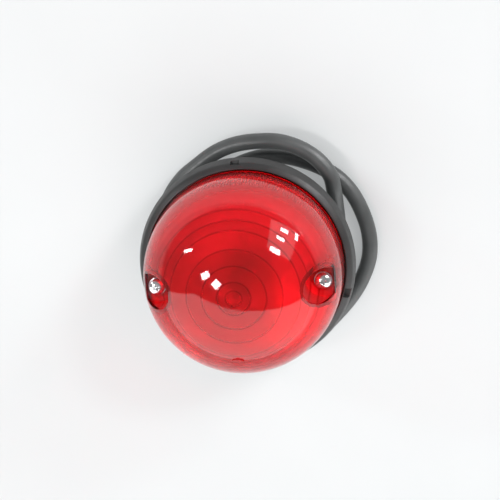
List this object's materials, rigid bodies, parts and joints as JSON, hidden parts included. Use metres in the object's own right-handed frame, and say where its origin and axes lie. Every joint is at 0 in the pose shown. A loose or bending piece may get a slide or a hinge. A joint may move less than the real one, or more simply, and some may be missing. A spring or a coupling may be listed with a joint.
{
  "type": "tail light",
  "caption": "Round red dome-lens stop and tail light held by two screws, with a bayonet bulb inside, a rear boss and a short lead with a plug.",
  "frame": {"origin": "centre of the rear boss's end, which the lamp stands on when it is off the vehicle", "axes": "+Z out through the lens along the optical axis; the two lens screws lie on X"},
  "size_m": [0.0843, 0.0878, 0.0605],
  "materials": {
    "housing_plastic": "moulded satin black",
    "gasket_rubber": "matt",
    "brass": "satin",
    "reflector_metal": "bright",
    "screw_steel": "polished",
    "insulating_board": "laminated board",
    "bulb_brass": "bright",
    "contact_solder": "dull",
    "bulb_glass": "clear",
    "filament_wire": "drawn",
    "lens_red": "clear red acrylic",
    "cable_pvc": "satin sheath",
    "wire_red": "satin",
    "wire_green": "satin",
    "wire_black": "satin",
    "connector_plastic": "satin"
  },
  "bodies": {
    "housing": {"base_housing": "housing_plastic", "mounting_gasket": "gasket_rubber", "lens_seal": "gasket_rubber", "screw_insert_left": "brass", "screw_insert_right": "brass", "reflector_plate": "reflector_metal", "reflector_screw_front": "screw_steel", "reflector_screw_rear": "screw_steel", "bulb_holder_shell": "brass", "contact_spring": "screw_steel", "cable_grip": "gasket_rubber", "cable_sheath": "cable_pvc", "wire_tail": "wire_red", "wire_stop": "wire_green", "wire_earth": "wire_black", "earth_tab": "brass", "connector_body": "connector_plastic", "connector_latch": "connector_plastic", "connector_seal": "gasket_rubber", "connector_terminal_1": "brass", "connector_terminal_2": "brass", "connector_terminal_3": "brass"},
    "lens": {"lens": "lens_red"},
    "washer_left": {"lens_washer_left": "screw_steel"},
    "washer_right": {"lens_washer_right": "screw_steel"},
    "screw_left": {"lens_screw_left": "screw_steel"},
    "screw_right": {"lens_screw_right": "screw_steel"},
    "contact_carrier": {"contact_carrier": "insulating_board", "contact_plunger_tail": "brass", "contact_plunger_stop": "brass"},
    "bulb": {"bulb_cap": "bulb_brass", "bulb_pin_1": "bulb_brass", "bulb_pin_2": "bulb_brass", "bulb_contact_tail": "contact_solder", "bulb_contact_stop": "contact_solder", "bulb_glass": "bulb_glass", "bulb_stem": "bulb_glass", "filament_stop": "filament_wire", "filament_tail": "filament_wire"}
  },
  "joints": [
    {"name": "lens_lift", "type": "slide", "parent": "housing", "child": "lens", "axis": [0, 0, 1], "range_m": [0, 0.06]},
    {"name": "screw_left_rise", "type": "slide", "parent": "lens", "child": "washer_left", "axis": [0, 0, 1], "range_m": [0, 0.0077]},
    {"name": "screw_left_turn", "type": "hinge", "parent": "washer_left", "child": "screw_left", "pos_m": [-0.0281, 0, 0.0407], "axis": [0, 0, 1], "range_deg": [0, 5545]},
    {"name": "screw_right_rise", "type": "slide", "parent": "lens", "child": "washer_right", "axis": [0, 0, 1], "range_m": [0, 0.0077]},
    {"name": "screw_right_turn", "type": "hinge", "parent": "washer_right", "child": "screw_right", "pos_m": [0.0281, 0, 0.0407], "axis": [0, 0, 1], "range_deg": [0, 5545]},
    {"name": "bulb_push", "type": "slide", "parent": "housing", "child": "contact_carrier", "axis": [0, 0, 1], "range_m": [-0.0015, 0], "stiffness_N_per_m": 2500, "springref_m": 0.002, "deforming": ["contact_spring"]},
    {"name": "bulb_twist", "type": "hinge", "parent": "contact_carrier", "child": "bulb", "pos_m": [0, 0, 0.02], "axis": [0, 0, 1], "range_deg": [-20, 0]}
  ],
  "couplings": [
    {"joint": "screw_left_turn", "follows": "screw_left_rise", "rad_per_m": 12566},
    {"joint": "screw_right_turn", "follows": "screw_right_rise", "rad_per_m": 12566}
  ]
}
